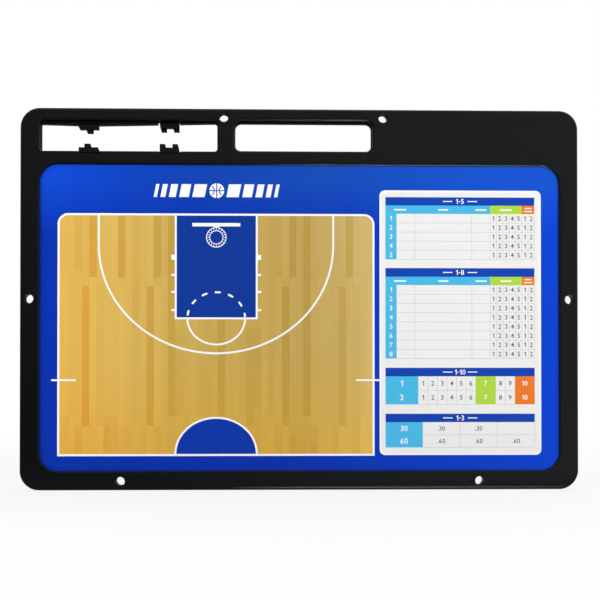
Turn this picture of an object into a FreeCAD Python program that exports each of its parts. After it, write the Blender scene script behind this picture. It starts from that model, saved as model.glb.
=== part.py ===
import FreeCAD, Part
import collections
import math
import os

# Dry-erase tactics board, standing upright. Millimetres.
# X runs to the right, Y from the playing face to the back, Z up.
# The origin is the middle of the bottom edge, on the plane where the two frame halves meet.

Vector = FreeCAD.Vector

# Board
board_width = 406.0
board_height = 277.0
board_depth = 12.0
corner_radius = 14.0
edge_round = 2.0
seam_chamfer = 0.3
shell_wall = 2.0

# Window and its lip
rail_width = 14.0
top_band = 41.0
window_corner_radius = 13.3
lip_overlap = 3.5
lip_depth = 2.0
lip_round = 1.2

# Panel between the frame halves
sheet_thickness = 1.0
adhesive_thickness = 0.2
panel_clearance = 0.3
core_skin = 0.5
core_web = 0.4
core_flute_pitch = 6.0

# Slots in the top band
slot_height = 22.8
slot_top_margin = 8.5
marker_slot_length = 128.6
marker_slot_inset = 14.0
marker_slot_corner = 2.5
marker_slot_round = 0.8
handle_slot_length = 100.2
handle_slot_sill = 0.6
handle_slot_corner = 4.8
handle_slot_round = 1.8
slot_post = 12.4
rear_slot_step = 0.4
rear_rail_step = 1.1

# Rear half's upper rail in the marker slot, which thickens towards the left jaw
rail_swell = 2.0
rail_end_swell = 1.0

# Bare label field on the right of the top band
label_gap = 19.7
label_inset = 11.1
label_corner = 2.5
label_depth = 0.25

# Through holes
hole_radius = 3.25
hole_inset = 6.4
hole_round = 0.5
hole_wall = 1.8
top_hole_gap = 7.9
bottom_hole_spacing = 261.0

# Pegs that join the frame halves
peg_radius = 1.5
peg_length = 3.0
peg_clearance = 0.05
peg_end_gap = 0.4
peg_wall = 1.6
side_peg_height_shares = (0.2, 0.72)
bottom_peg_shares = (-0.3, 0.3)
band_peg_shares = (0.22, 0.54, 0.86)

# Ribs inside the hollow frame
rib_thickness = 1.4
rib_depth = 3.0
band_rib_shares = (0.13, 0.38, 0.7)
side_rib_shares = (0.1, 0.34, 0.6)
bottom_rib_shares = (-0.8, -0.45, 0.0, 0.45, 0.8)

# Marker clip jaws
jaw_station_inset = 35.0
jaw_width = 13.8
jaw_depth = 5.0
jaw_rise = 2.6
single_jaw_slant = 1.2
pair_jaw_slant = 0.4
jaw_edge_round = 0.3
finger_rise = 2.6
finger_depth = 2.8
finger_slant = 0.8
middle_finger_width = 4.3
side_finger_width = 3.8
finger_stagger = 0.6

# Sprung root of a jaw: a round bead held in a groove of the frame
notch_depth = 1.7
notch_side_gap = 0.4
jaw_seat_gap = 0.6
bead_radius = 1.0
bead_clearance = 0.06
bead_setback = 3.0
neck_thickness = 0.9
mouth_gap = 0.3

# Cuts run past the material by this much
overrun = 1.0
# Two places closer than this are the same place
same_place = 0.001

FRONT = -1
REAR = 1
UP = 1
DOWN = -1

half_width = board_width / 2
half_depth = board_depth / 2
window_bottom = rail_width
window_top = board_height - top_band
window_half_width = half_width - rail_width
slot_top = board_height - slot_top_margin
slot_bottom = slot_top - slot_height
marker_slot_left = marker_slot_inset - half_width
marker_slot_right = marker_slot_left + marker_slot_length
handle_slot_left = marker_slot_right + slot_post
handle_slot_right = handle_slot_left + handle_slot_length
band_length = half_width - handle_slot_right
rear_slot_top = slot_top - rear_slot_step - rear_rail_step
left_station = marker_slot_left + jaw_station_inset
right_station = marker_slot_right - jaw_station_inset
panel_face = half_depth - lip_depth
core_face = panel_face - sheet_thickness - adhesive_thickness
groove_radius = bead_radius + bead_clearance


# Where a jaw sits: its middle along X, its slot wall, its half of the frame and the way it points.
# An upper jaw is a lower one turned over, so places across it are counted the other way.
Seat = collections.namedtuple("Seat", "x wall side direction")


def swell_at(x):
    """How far the rear half's upper rail hangs at or to the right of the left jaw."""
    return rail_swell * (marker_slot_right - x) / (marker_slot_right - left_station)


def jaw_seats():
    """The lower jaws sit on the front half and the upper ones on the rear half."""
    seats = {}
    for place, x in (("left", left_station), ("right", right_station)):
        seats["lower", place] = Seat(x, slot_bottom, FRONT, UP)
        seats["upper", place] = Seat(x, rear_slot_top - swell_at(x), REAR, DOWN)
    return seats


def seats_on(side):
    """The jaw seats of one half."""
    return [seat for seat in jaw_seats().values() if seat.side == side]


def outline(left, right, bottom, top, radius):
    """Upright rectangle with round corners, on the plane where the halves meet."""
    diagonal = radius * math.sqrt(0.5)
    edges = []
    centres = (
        (right - radius, bottom + radius, 1, -1),
        (right - radius, top - radius, 1, 1),
        (left + radius, top - radius, -1, 1),
        (left + radius, bottom + radius, -1, -1),
    )
    ends = []
    for x, z, across, upward in centres:
        flat_end = Vector(x, 0, z + upward * radius)
        side_end = Vector(x + across * radius, 0, z)
        middle = Vector(x + across * diagonal, 0, z + upward * diagonal)
        first, last = (flat_end, side_end) if across * upward < 0 else (side_end, flat_end)
        edges.append(Part.Arc(first, middle, last).toShape())
        ends.append((first, last))
    for index, (first, last) in enumerate(ends):
        following = ends[(index + 1) % len(ends)][0]
        edges.append(Part.LineSegment(last, following).toShape())
    return Part.Wire(Part.sortEdges(edges)[0])


def slab(wire, side, inner, outer):
    """Solid on one side of the seam, between two distances from it."""
    face = Part.Face(wire)
    face.translate(Vector(0, side * inner, 0))
    return face.extrude(Vector(0, side * (outer - inner), 0))


def block(left, right, bottom, top, side, inner, outer):
    """Box between two distances from the seam."""
    depth = outer - inner
    start = side * inner if side > 0 else -outer
    corner = Vector(left, start, bottom)
    return Part.makeBox(right - left, depth, top - bottom, corner)


def rod(x, z, radius, side, inner, outer):
    """Round bar square to the board, between two distances from the seam."""
    start = Vector(x, side * inner, z)
    return Part.makeCylinder(radius, outer - inner, start, Vector(0, side, 0))


def board_outline(inset):
    """Outer edge of the board, drawn in by an inset."""
    return outline(
        inset - half_width,
        half_width - inset,
        inset,
        board_height - inset,
        corner_radius - inset,
    )


def window_outline(growth):
    """Edge of the window, grown on all sides."""
    return outline(
        -window_half_width - growth,
        window_half_width + growth,
        window_bottom - growth,
        window_top + growth,
        window_corner_radius + growth,
    )


def marker_slot_outline(growth, drop):
    """Edge of the marker slot, grown on all sides, with its top lowered by a drop."""
    return outline(
        marker_slot_left - growth,
        marker_slot_right + growth,
        slot_bottom - growth,
        slot_top + growth - drop,
        marker_slot_corner + growth,
    )


def handle_slot_outline(growth, drop):
    """Edge of the hand slot, grown on all sides, with its top lowered by a drop."""
    return outline(
        handle_slot_left - growth,
        handle_slot_right + growth,
        slot_bottom + handle_slot_sill - growth,
        slot_top + growth - drop,
        handle_slot_corner + growth,
    )


def label_outline():
    """Edge of the bare field to the right of the hand slot."""
    left = handle_slot_right + label_gap
    right = half_width - label_inset
    return outline(left, right, slot_bottom, slot_top, label_corner)


def hole_places():
    """Middles of the six through holes."""
    half_bottom = bottom_hole_spacing / 2
    side_x = half_width - hole_inset
    top_z = board_height - hole_inset
    return (
        (handle_slot_left - top_hole_gap, top_z),
        (handle_slot_right + top_hole_gap, top_z),
        (-half_bottom, hole_inset),
        (half_bottom, hole_inset),
        (-side_x, board_height / 2),
        (side_x, board_height / 2),
    )


def peg_places():
    """Middles of the pegs along the rails, on the post between the slots and in the band."""
    rail_middle = (rail_width - lip_overlap) / 2
    side_x = half_width - rail_middle
    post_x = (marker_slot_right + handle_slot_left) / 2
    band_z = (slot_bottom + slot_top) / 2
    places = [(post_x, band_z)]
    for share in side_peg_height_shares:
        places.append((-side_x, share * board_height))
        places.append((side_x, share * board_height))
    for share in bottom_peg_shares:
        places.append((share * half_width, rail_middle))
    for share in band_peg_shares:
        places.append((handle_slot_right + share * band_length, band_z))
    return places


def ribs(side):
    """Walls left standing across the hollow of one half."""
    inner = half_depth - shell_wall - rib_depth
    outer = half_depth
    half_rib = rib_thickness / 2
    made = []
    for share in band_rib_shares:
        x = handle_slot_right + share * band_length
        made.append(block(x - half_rib, x + half_rib, window_top, board_height, side, inner, outer))
    for share in side_rib_shares:
        z = share * board_height
        for left in (-half_width, window_half_width):
            made.append(block(left, left + rail_width, z - half_rib, z + half_rib, side, inner, outer))
    for share in bottom_rib_shares:
        x = share * half_width
        made.append(block(x - half_rib, x + half_rib, 0, rail_width, side, inner, outer))
    return made


def seat_blocks(side):
    """Solid rail behind each jaw of one half."""
    half_block = jaw_width / 2 + single_jaw_slant + notch_side_gap + shell_wall
    reach = bead_setback + groove_radius + shell_wall
    made = []
    for seat in seats_on(side):
        low, high = sorted((seat.wall, seat.wall - seat.direction * reach))
        made.append(block(seat.x - half_block, seat.x + half_block, low, high, side, 0, half_depth))
    return made


def hollow(side):
    """Space inside one half of the frame."""
    depth = half_depth - shell_wall
    space = slab(board_outline(shell_wall), side, -overrun, depth)
    kept = [
        slab(window_outline(lip_overlap + shell_wall), side, -overrun, half_depth),
        slab(marker_slot_outline(shell_wall, 0), side, -overrun, half_depth),
        slab(handle_slot_outline(shell_wall, 0), side, -overrun, half_depth),
    ]
    for x, z in hole_places():
        kept.append(rod(x, z, hole_radius + hole_wall, side, -overrun, half_depth))
    for x, z in peg_places():
        kept.append(rod(x, z, peg_radius + peg_wall, side, -overrun, half_depth))
    return space.cut(kept + ribs(side) + seat_blocks(side))


def outer_wire(shape, side, target):
    """Edge of an opening on the outer face of one half, found by its middle."""
    middle = target.BoundBox.Center
    wires = []
    for face in shape.Faces:
        box = face.BoundBox
        if box.YLength < same_place and abs(box.YMin - side * half_depth) < same_place:
            wires += [wire for wire in face.Wires if not wire.isSame(face.OuterWire)]

    def distance(wire):
        centre = wire.BoundBox.Center
        return math.hypot(centre.x - middle.x, centre.z - middle.z)

    return min(wires, key=distance)


def round_opening(shape, side, target, radius):
    """Rounds the outer edge of one opening."""
    return shape.makeFillet(radius, outer_wire(shape, side, target).Edges)


def edges_at(shape, depth):
    """Edges that lie at one distance along Y."""
    found = []
    for edge in shape.Edges:
        box = edge.BoundBox
        if box.YLength < same_place and abs(box.YMin - depth) < same_place:
            found.append(edge)
    return found


def frame_blank(side, slot_growth, slot_drop):
    """One half of the frame before it is hollowed: outside, window, slots and holes."""
    body = slab(board_outline(0), side, 0, half_depth)
    body = body.makeFillet(edge_round, edges_at(body, side * half_depth))
    body = body.makeChamfer(seam_chamfer, edges_at(body, 0))
    through = half_depth + overrun
    window = window_outline(0)
    marker_slot = marker_slot_outline(slot_growth, slot_drop)
    handle_slot = handle_slot_outline(slot_growth, slot_drop)
    cuts = [
        slab(window, side, -overrun, through),
        slab(window_outline(lip_overlap), side, -overrun, panel_face),
        slab(marker_slot, side, -overrun, through),
        slab(handle_slot, side, -overrun, through),
    ]
    holes = [rod(x, z, hole_radius, side, -overrun, through) for x, z in hole_places()]
    body = body.cut(cuts + holes)
    body = round_opening(body, side, window, lip_round)
    body = round_opening(body, side, marker_slot, marker_slot_round)
    body = round_opening(body, side, handle_slot, handle_slot_round)
    for hole in holes:
        body = round_opening(body, side, hole, hole_round)
    return body


def jaw_box(seat, across, depths, heights):
    """Box at a jaw seat: depths run in from the outer face, heights out of the slot wall."""
    low, high = sorted(seat.wall + seat.direction * height for height in heights)
    inner, outer = sorted(half_depth - depth for depth in depths)
    left, right = sorted(seat.x + seat.direction * place for place in across)
    return block(left, right, low, high, seat.side, inner, outer)


def jaw_wedge(seat, corners, depth):
    """Solid at a jaw seat: each corner is a place across and a height out of the slot wall."""
    points = []
    for across, height in corners:
        points.append(Vector(seat.x + seat.direction * across, 0, seat.wall + seat.direction * height))
    wire = Part.makePolygon(points + points[:1])
    return slab(wire, seat.side, half_depth - depth, half_depth)


def jaw_bar(seat, radius, half_length):
    """Round bar along the root of a jaw."""
    y = seat.side * (half_depth - jaw_depth / 2)
    z = seat.wall - seat.direction * bead_setback
    start = Vector(seat.x - half_length, y, z)
    return Part.makeCylinder(radius, 2 * half_length, start, Vector(1, 0, 0))


def root_depths(half_thickness):
    """Depths on both sides of the middle of a jaw."""
    middle = jaw_depth / 2
    return (middle - half_thickness, middle + half_thickness)


def jaw_cuts(side):
    """Notches and grooves for the two jaws of one half."""
    half_notch = jaw_width / 2 + notch_side_gap
    notch = (-half_notch, half_notch + single_jaw_slant)
    mouth = (-half_notch, half_notch)
    mouth_depths = root_depths(neck_thickness / 2 + mouth_gap)
    made = []
    for seat in seats_on(side):
        made.append(jaw_box(seat, notch, (-overrun, half_depth), (-notch_depth, overrun)))
        made.append(jaw_box(seat, mouth, mouth_depths, (-bead_setback, overrun)))
        made.append(jaw_bar(seat, groove_radius, half_notch))
    return made


def jaw_base(seat, underside, slant):
    """Base of a jaw, with one slanted end."""
    left, right = -jaw_width / 2, jaw_width / 2
    foot = right + slant
    corners = ((left, underside), (foot, underside), (foot, 0), (right, jaw_rise), (left, jaw_rise))
    return jaw_wedge(seat, corners, jaw_depth)


def jaw_finger(seat, underside, left, right):
    """Finger of a jaw, slanted on the same side as its base."""
    tip = jaw_rise + finger_rise
    foot = right + finger_slant
    corners = ((left, underside), (foot, underside), (foot, jaw_rise), (right, tip), (left, tip))
    return jaw_wedge(seat, corners, finger_depth)


def jaw(seat, slant, spans):
    """Spring jaw: a base with its fingers, on a neck that ends in a round bead."""
    half_jaw = jaw_width / 2
    across = (-half_jaw, half_jaw)
    underside = jaw_seat_gap - notch_depth
    fingers = [jaw_finger(seat, underside, left, right) for left, right in spans]
    body = jaw_base(seat, underside, slant).fuse(fingers).removeSplitter()
    rounded = []
    for edge in body.Edges:
        runs_in_depth = edge.BoundBox.YLength > same_place
        height = seat.direction * (edge.BoundBox.Center.z - seat.wall)
        if runs_in_depth and height > jaw_rise + same_place:
            rounded.append(edge)
    body = body.makeFillet(jaw_edge_round, rounded)
    neck = jaw_box(seat, across, root_depths(neck_thickness / 2), (-bead_setback, underside))
    bead = jaw_bar(seat, bead_radius, half_jaw)
    return body.fuse([neck, bead]).removeSplitter()


def finger_spans(place):
    """Tips of a jaw's fingers along its base: one near the middle, or two flush with its ends."""
    if place == "left":
        left = -finger_stagger - middle_finger_width / 2
        return ((left, left + middle_finger_width),)
    left = -jaw_width / 2
    right = jaw_width / 2 - finger_slant
    return ((left, left + side_finger_width), (right - side_finger_width, right))


def front_frame():
    """Front half: carries the lower jaws, the sockets for the pegs and the label field."""
    body = frame_blank(FRONT, 0, 0).cut(hollow(FRONT))
    sockets = []
    for x, z in peg_places():
        depth = peg_length + peg_end_gap
        sockets.append(rod(x, z, peg_radius + peg_clearance, FRONT, -overrun, depth))
    label = slab(label_outline(), FRONT, half_depth - label_depth, half_depth + overrun)
    body = body.cut(sockets + [label] + jaw_cuts(FRONT))
    return body.removeSplitter()


def upper_rail_swell():
    """Thicker length of the rear half's upper rail, lowest at the left jaw."""
    points = (
        Vector(marker_slot_left, 0, rear_slot_top - rail_end_swell),
        Vector(left_station, 0, rear_slot_top - rail_swell),
        Vector(marker_slot_right, 0, rear_slot_top),
        Vector(marker_slot_right, 0, slot_top),
        Vector(marker_slot_left, 0, slot_top),
    )
    wire = Part.makePolygon(points + points[:1])
    return slab(wire, REAR, 0, half_depth - marker_slot_round)


def rear_frame():
    """Rear half: carries the upper jaws and the pegs."""
    body = frame_blank(REAR, -rear_slot_step, rear_rail_step).fuse(upper_rail_swell())
    body = body.cut(hollow(REAR))
    body = body.cut(jaw_cuts(REAR))
    pegs = [rod(x, z, peg_radius, REAR, -peg_length, shell_wall) for x, z in peg_places()]
    return body.fuse(pegs).removeSplitter()


def panel_layer(side, inner, outer):
    """Flat layer of the panel, held between the lips of both halves."""
    return slab(window_outline(lip_overlap - panel_clearance), side, inner, outer)


def core_board():
    """Twin-wall stiffener: two skins joined by level webs."""
    body = panel_layer(FRONT, -core_face, core_face)
    edge = lip_overlap + overrun
    bottom = window_bottom - lip_overlap + panel_clearance
    height = window_top - window_bottom + 2 * (lip_overlap - panel_clearance)
    flutes = int((height - core_web) / core_flute_pitch)
    pitch = (height - core_web) / flutes
    open_face = core_face - core_skin
    cuts = []
    for index in range(flutes):
        low = bottom + core_web + index * pitch
        high = low + pitch - core_web
        left, right = -window_half_width - edge, window_half_width + edge
        cuts.append(block(left, right, low, high, FRONT, -open_face, open_face))
    return body.cut(cuts)


def all_parts():
    """Every piece of the board by name."""
    bonded_face = panel_face - sheet_thickness
    parts = {
        "front_frame": front_frame(),
        "rear_frame": rear_frame(),
        "core_board": core_board(),
        "front_sheet": panel_layer(FRONT, bonded_face, panel_face),
        "rear_sheet": panel_layer(REAR, bonded_face, panel_face),
        "front_adhesive": panel_layer(FRONT, core_face, bonded_face),
        "rear_adhesive": panel_layer(REAR, core_face, bonded_face),
    }
    for (rail, place), seat in jaw_seats().items():
        slant = single_jaw_slant if place == "left" else pair_jaw_slant
        parts["clip_jaw_" + rail + "_" + place] = jaw(seat, slant, finger_spans(place))
    return parts


os.makedirs("parts", exist_ok=True)
for name, shape in all_parts().items():
    print(name, shape.isValid(), len(shape.Solids), round(shape.Volume))
    shape.exportStep("parts/" + name + ".step")
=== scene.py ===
import collections
import math

import bmesh
import bpy
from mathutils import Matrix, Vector


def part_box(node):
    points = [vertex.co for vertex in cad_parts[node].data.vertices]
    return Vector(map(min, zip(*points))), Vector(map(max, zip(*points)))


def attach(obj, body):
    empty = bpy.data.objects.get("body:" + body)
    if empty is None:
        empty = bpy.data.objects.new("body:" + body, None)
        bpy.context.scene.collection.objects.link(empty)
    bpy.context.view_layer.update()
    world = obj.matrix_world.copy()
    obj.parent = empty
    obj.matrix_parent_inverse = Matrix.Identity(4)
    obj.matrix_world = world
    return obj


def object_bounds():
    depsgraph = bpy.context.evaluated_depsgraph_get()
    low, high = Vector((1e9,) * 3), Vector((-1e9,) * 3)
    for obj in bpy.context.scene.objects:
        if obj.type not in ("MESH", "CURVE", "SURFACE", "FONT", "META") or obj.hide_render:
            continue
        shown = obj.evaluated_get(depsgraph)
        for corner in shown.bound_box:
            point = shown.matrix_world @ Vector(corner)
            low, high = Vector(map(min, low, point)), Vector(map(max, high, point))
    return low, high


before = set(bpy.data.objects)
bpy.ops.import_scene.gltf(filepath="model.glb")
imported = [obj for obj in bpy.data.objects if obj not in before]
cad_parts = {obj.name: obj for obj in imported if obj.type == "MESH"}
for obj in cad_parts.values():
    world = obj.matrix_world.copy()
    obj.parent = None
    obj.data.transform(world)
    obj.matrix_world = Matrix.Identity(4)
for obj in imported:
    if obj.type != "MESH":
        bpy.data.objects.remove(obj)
cad_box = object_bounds()

# Looks of the upright tactics board. Places and sizes of the print are in millimetres:
# across runs to the right as the reader of that face sees it, up runs from the board's bottom edge.
# Materials and studio are in metres, along the frame's own axes.
MM = 0.001

# Each ink level lies this much further off the sheet than the one below it
INK_STEP = 0.012 * MM
BASE, FILL, DETAIL, LINE, SEAM = 1, 2, 3, 4, 5
ARC_STEPS = 48
SHORT_ARC_STEPS = 9

# Playing court on the front sheet
COURT_LEFT, COURT_RIGHT = -176.1, 53.9
COURT_BOTTOM, COURT_TOP = 24.6, 200.7
COURT_AXIS = -61.3
COURT_CORNER = 7.6
BORDER = 1.5
HASH_UP = 79.6
HASH_WIDTH = 1.3
HASH_LEFT = (-180.5, -162.8)
HASH_RIGHT = (40.4, 57.6)
HASH_EDGES = (HASH_UP - HASH_WIDTH / 2, HASH_UP + HASH_WIDTH / 2)

# Floor boards of the court: strips of long boards, whose joints stand at two heights
STRIP_WIDTH = 5.17
STRIP_START = -158.3
BOARD_LENGTH = 101.1
JOINT_STAGGER = 6.6
LONG_END = 53.2
EARLY_END = LONG_END + BOARD_LENGTH
LATE_START = EARLY_END - JOINT_STAGGER
LATE_END = LONG_END - JOINT_STAGGER

# Other heights at which single boards end
FLOOR_TOP, FLOOR_LOW = COURT_TOP - BORDER, COURT_BOTTOM + BORDER
CORNER_END = 159.0
MIDDLE_JOINT = 118.0
SHORT_END = 60.0
LOW_START, LOWEST_START = 40.0, 34.0

# Boards that stand out: upper end, lower end, and the strips that hold such a board
STANDOUT_BOARDS = {
    "dark": (
        (FLOOR_TOP, EARLY_END, (1, 5, 10, 29, 37)),
        (LATE_START, LATE_END, (0, 9, 28, 36)),
        (FLOOR_TOP, LONG_END, (12, 19, 31)),
    ),
    "mid": (
        (FLOOR_TOP, CORNER_END, (-1,)),
        (FLOOR_TOP, EARLY_END, (27,)),
        (FLOOR_TOP, MIDDLE_JOINT, (7,)),
        (MIDDLE_JOINT, LONG_END, (13,)),
        (MIDDLE_JOINT, LATE_END, (23,)),
        (MIDDLE_JOINT, SHORT_END, (24,)),
        (LATE_END, FLOOR_LOW, (-1, 8, 27, 35)),
        (LONG_END, FLOOR_LOW, (3, 4)),
        (LOW_START, FLOOR_LOW, (29,)),
        (LOWEST_START, FLOOR_LOW, (32,)),
        (LATE_START, FLOOR_LOW, (38,)),
    ),
}

# Title ornament: a ball between rows of slanted bars
TITLE_MIDDLE = (-61.0, 217.4)
TITLE_HEIGHT = 9.4
TITLE_SLANT_SHARE = 0.2
TITLE_BARS = (9.0, 7.0, 5.0, 3.6, 2.4)
TITLE_GAP = 2.5
BALL_RADIUS = 5.4
BALL_SEAM = 0.75
SIDE_SEAM_RADIUS_SHARE = 0.8
SIDE_SEAM_PLACE_SHARE = 1.15
SIDE_SEAM_ANGLES = ((-46, -6), (6, 46))

# Score card on the front sheet
CARD_LEFT, CARD_RIGHT = 57.6, 176.0
CARD_BOTTOM, CARD_TOP = 25.05, 218.2
CARD_CORNER = 4.0
CARD_RIM = 1.5
TABLE_LEFT, TABLE_RIGHT = 61.9, 171.2
GRID_LINE = 0.34
ROUND_END_SHARE = 1 / 3

# Title bar of a table: its figures, and the rule at either side of them
TITLE_FIGURE = 3.7
RULE_LENGTH = 7.0
RULE_GAP = 5.6
RULE_WIDTH = 0.7

# Columns of the tables with numbered rows: row number, three blank columns and the counts
NUMBER_RIGHT = 70.1
BLANK_RIGHTS = (83.4, 125.2, 138.7)
COUNT_LEFT = BLANK_RIGHTS[-1]
COUNT_FIGURES = (1, 2, 3, 4, 5, 1, 2)
LATE_COUNTS = 2
ROW_FIGURE = 3.5
HEADING_DOWN_SHARE = 0.52
HEADING_LENGTHS = (9.0, 7.4, 8.4, 8.4)
HEADING_WIDTH = 1.15

# Pair of headings over the late counts: how far above the other headings, and length
PAIR_HEADINGS = ((1.2, 5.0), (-1.0, 6.0))
PAIR_HEADING_WIDTH = 0.8

# Cells of the table of ten counts, and the counts whose cells are coloured
CELL_EDGES = (85.9, 92.9, 99.9, 106.9, 113.8, 120.8, 127.8, 142.6, 149.6, 156.7, TABLE_RIGHT)
GREEN_COUNT, ORANGE_COUNT = 7, 10
SIDE_FIGURE = 4.2

# Table of long cells: each row's side figure, the figure in its cells, and how many hold it
LONG_CELLS_LEFT = 89.1
LONG_CELLS = 3
LONG_ROWS = (("30", ".30", 2), ("60", ".60", 3))
LONG_SIDE_FIGURE = 4.0
LONG_FIGURE = 3.3

# Full court on the rear sheet, drawn at this many millimetres to the foot
FOOT = 3.62
REAR_LENGTH, REAR_WIDTH = 94 * FOOT, 50 * FOOT
REAR_MIDDLE_UP = 125.0

# Dashes of a free-throw circle, and parts of a basket as shares of its rim's radius
DASH_ANGLES = (167.7, 140.8, 113.9, 87.0, 60.0, 33.1, 6.2)
DASH_HALF_ANGLE = 5.7
DASH_STEPS = 5
BRACKET_SHARE = 0.3
OUTER_RING_SHARES = (1.0, 0.925)
INNER_RING_SHARES = (0.68, 0.615)
NET_HOOKS = 20
HOOK_HALF_ANGLE = 1.7
HOOK_STEPS = 2

# A half court: across from its middle line, down from its baseline
Court = collections.namedtuple(
    "Court",
    "length line arc_straight arc_radii key_half key_length circle_radii "
    "board_down board_half board_width rim_down rim_radius mark_places mark_length centre_radii",
)

FRONT_COURT = Court(
    length=COURT_TOP - COURT_BOTTOM,
    line=1.38,
    arc_straight=23.3,
    arc_radii=(85.1, 78.3),
    key_half=29.4,
    key_length=76.2,
    circle_radii=(20.9, 19.0),
    board_down=8.1,
    board_half=17.4,
    board_width=2.5,
    rim_down=17.3,
    rim_radius=7.4,
    mark_places=((31.8, 3.6), (44.7, 1.5), (57.0, 1.5), (70.2, 1.5)),
    mark_length=2.5,
    centre_radii=(30.2, 26.9),
)

REAR_COURT = Court(
    length=REAR_LENGTH / 2,
    line=1.5,
    arc_straight=5.25 * FOOT,
    arc_radii=(20.75 * FOOT, 20.75 * FOOT),
    key_half=6 * FOOT,
    key_length=19 * FOOT,
    circle_radii=(6 * FOOT, 6 * FOOT),
    board_down=3.6 * FOOT,
    board_half=3.4 * FOOT,
    board_width=2.2,
    rim_down=5.6 * FOOT,
    rim_radius=1.4 * FOOT,
    mark_places=((7.5 * FOOT, 3.0), (11 * FOOT, 1.2), (14 * FOOT, 1.2), (17 * FOOT, 1.2)),
    mark_length=2.0,
    centre_radii=(6 * FOOT, 6 * FOOT),
)


class Table(collections.namedtuple("Table", "top bar header row rows")):
    """One table of the card: upper edge, heights of its title bar, headings and rows, number of rows."""

    @property
    def header_top(self):
        return self.top - self.bar

    @property
    def body_top(self):
        return self.header_top - self.header

    @property
    def bottom(self):
        return self.body_top - self.rows * self.row

    def row_middle(self, index):
        return self.body_top - (index + 0.5) * self.row

    def row_bottom(self, index):
        return self.body_top - (index + 1) * self.row


NUMBERED_TABLES = (
    Table(top=213.2, bar=6.0, header=6.1, row=6.68, rows=5),
    Table(top=161.4, bar=6.3, header=6.1, row=6.71, rows=8),
)
COUNT_TABLE = Table(top=88.6, bar=6.2, header=0, row=10.25, rows=2)
LONG_TABLE = Table(top=55.1, bar=6.1, header=0, row=9.2, rows=len(LONG_ROWS))


# Drawing on a sheet


class Face:
    """One printed face. Turns places on it into points of the model."""

    def __init__(self, depth, outward):
        self.depth = depth
        self.outward = outward

    def point(self, place, level):
        across, up = place
        return Vector((
            -self.outward * across * MM,
            self.depth + self.outward * level * INK_STEP,
            up * MM,
        ))


class Ink:
    """Shapes of one colour on one face, gathered into one thin closed mesh."""

    def __init__(self, face, level):
        self.face = face
        self.level = level
        self.mesh = bmesh.new()

    def corners(self, outline):
        """The points of an outline on top of the ink and on the sheet below it."""
        top = [self.mesh.verts.new(self.face.point(place, self.level)) for place in outline]
        low = [self.mesh.verts.new(self.face.point(place, 0)) for place in outline]
        return top, low

    def wall(self, top, low, pairs):
        for first, second in pairs:
            self.mesh.faces.new((top[first], low[first], low[second], top[second]))

    def patch(self, outline):
        """Filled shape."""
        top, low = self.corners(outline)
        self.mesh.faces.new(top)
        self.mesh.faces.new(low[::-1])
        self.wall(top, low, neighbours(len(outline)))

    def bar(self, left, right, bottom, top, radius=0.0):
        """Filled upright rectangle, rounded where a radius is given."""
        self.patch(rectangle(left, right, bottom, top, radius))

    def band(self, outer, inner, closed=False):
        """Strip between two lines of as many points."""
        outer_top, outer_low = self.corners(outer)
        inner_top, inner_low = self.corners(inner)
        steps = neighbours(len(outer))
        if not closed:
            last, first = steps.pop()
            for end in (first, last):
                self.mesh.faces.new((outer_top[end], inner_top[end], inner_low[end], outer_low[end]))
        for start, end in steps:
            self.mesh.faces.new((outer_top[start], outer_top[end], inner_top[end], inner_top[start]))
            self.mesh.faces.new((outer_low[start], inner_low[start], inner_low[end], outer_low[end]))
        self.wall(outer_top, outer_low, steps)
        self.wall(inner_top, inner_low, [step[::-1] for step in steps])

    def ring(self, middle, outer_radii, inner_radii):
        """Whole ellipse drawn as a line."""
        self.band(ellipse(middle, outer_radii), ellipse(middle, inner_radii), closed=True)

    def figure(self, characters, middle, height):
        """Plain figures, centred on a place."""
        points, faces, rim = typeface(characters)
        outline = [(middle[0] + height * x, middle[1] + height * y) for x, y in points]
        top, low = self.corners(outline)
        for corners in faces:
            self.mesh.faces.new([top[index] for index in corners])
            self.mesh.faces.new([low[index] for index in reversed(corners)])
        self.wall(top, low, rim)

    def finish(self, name, material, slot):
        """Makes the piece, on the board."""
        bmesh.ops.recalc_face_normals(self.mesh, faces=self.mesh.faces)
        data = bpy.data.meshes.new(name)
        self.mesh.to_mesh(data)
        self.mesh.free()
        piece = bpy.data.objects.new(name, data)
        bpy.context.scene.collection.objects.link(piece)
        data.materials.append(material)
        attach(piece, "board")


def neighbours(count):
    """Pairs of points that follow each other round a closed outline."""
    return [(index, (index + 1) % count) for index in range(count)]


def arc(middle, radii, start, end, steps=ARC_STEPS):
    """Points along part of an ellipse, between two angles in degrees."""
    points = []
    for index in range(steps):
        angle = math.radians(start + (end - start) * index / (steps - 1))
        points.append((middle[0] + radii[0] * math.cos(angle), middle[1] + radii[1] * math.sin(angle)))
    return points


def ellipse(middle, radii):
    """Points round a whole ellipse."""
    return arc(middle, radii, 0, 360 - 360 / ARC_STEPS)


def rectangle(left, right, bottom, top, radius=0.0, low_radius=None):
    """Upright rectangle, rounded; its lower corners may have a radius of their own."""
    low_radius = radius if low_radius is None else low_radius
    outline = []
    corners = (
        (right - radius, top - radius, radius, 0),
        (left + radius, top - radius, radius, 90),
        (left + low_radius, bottom + low_radius, low_radius, 180),
        (right - low_radius, bottom + low_radius, low_radius, 270),
    )
    for across, up, size, start in corners:
        if size:
            outline += arc((across, up), (size, size), start, start + 90, SHORT_ARC_STEPS)
        else:
            outline.append((across, up))
    return outline


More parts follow.
